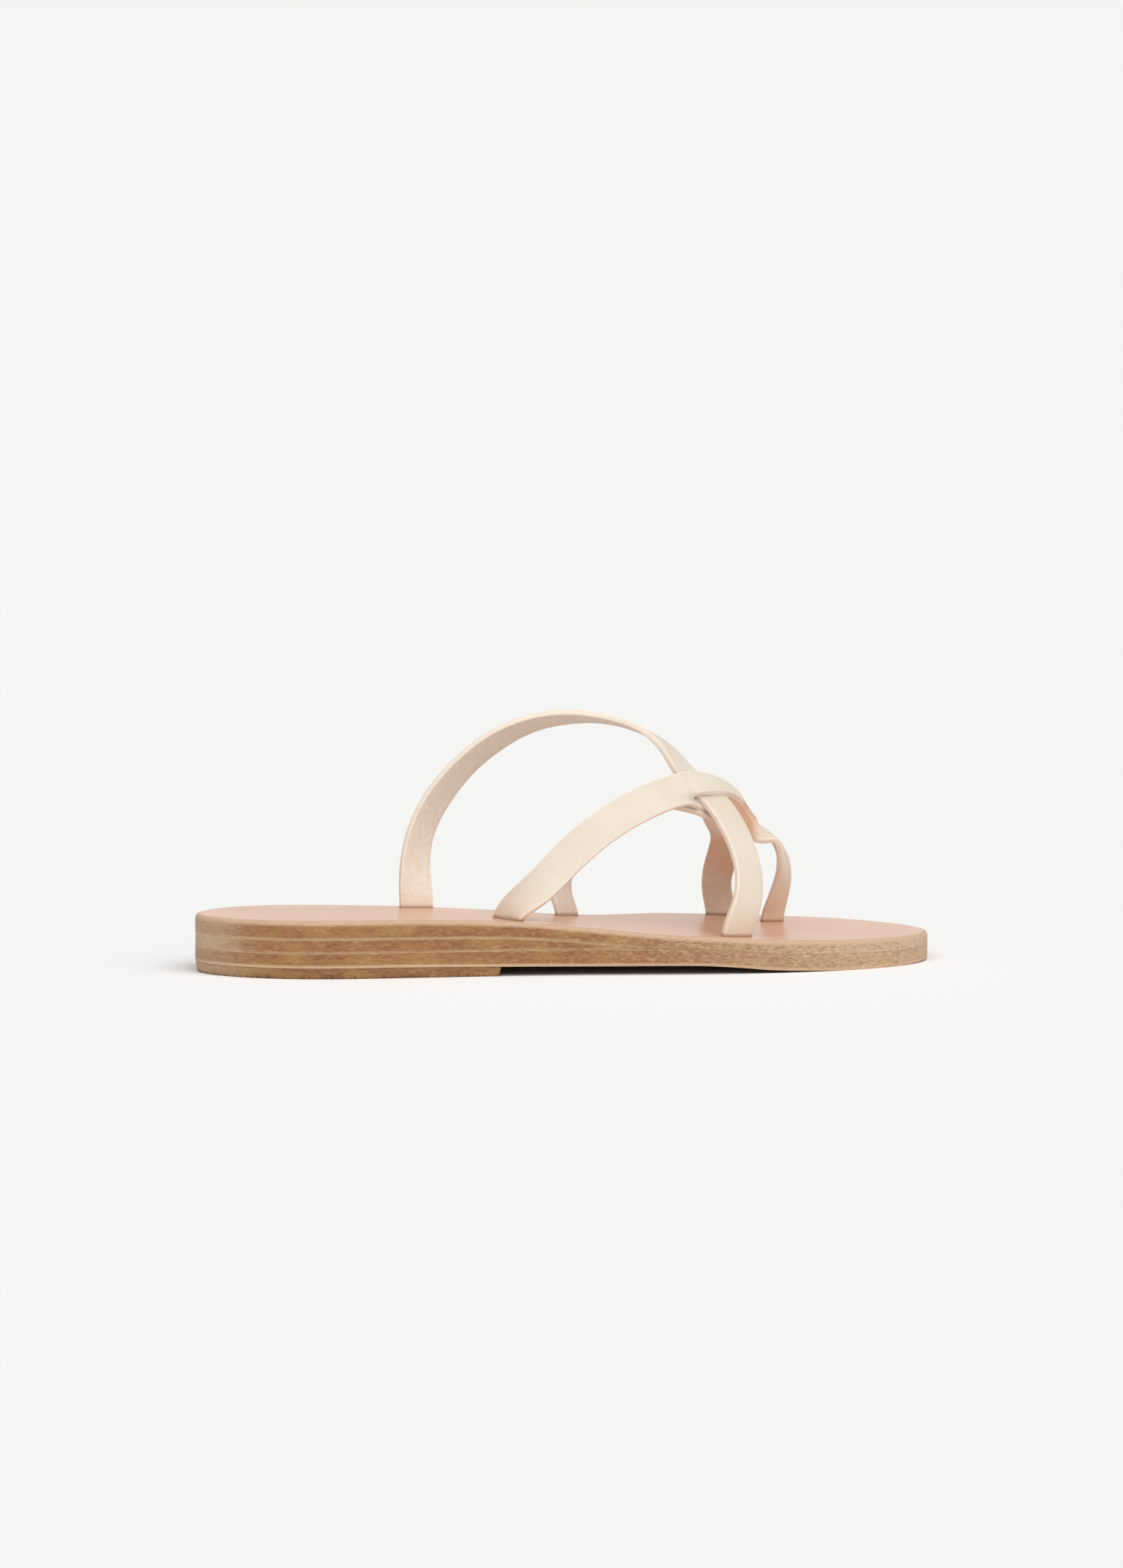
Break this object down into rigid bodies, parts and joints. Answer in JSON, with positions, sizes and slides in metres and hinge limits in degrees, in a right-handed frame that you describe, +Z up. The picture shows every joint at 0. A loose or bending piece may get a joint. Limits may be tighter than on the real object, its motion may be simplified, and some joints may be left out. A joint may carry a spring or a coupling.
{
  "type": "toe post sandal",
  "caption": "Flat toe post sandal for the right foot: a stacked leather sole with a low heel, a slotted insole, and thin straps joined where they cross over the foot.",
  "frame": {"origin": "centre of the bounding box at the ground plane the sole stands on", "axes": "+X towards the toe, +Y towards the inner side of the foot, +Z up"},
  "size_m": [0.2482, 0.0873, 0.0843],
  "materials": {
    "straps": "matte cream grain leather",
    "insole": "smooth satin tan leather",
    "sole_stack": "raw brown edge of stacked leather",
    "heel_lift": "raw red brown edge of leather"
  },
  "bodies": {
    "root": {"upper": "straps", "insole": "insole", "heel_wedge": "sole_stack", "outsole": "sole_stack", "heel_lift": "heel_lift"}
  },
  "joints": []
}
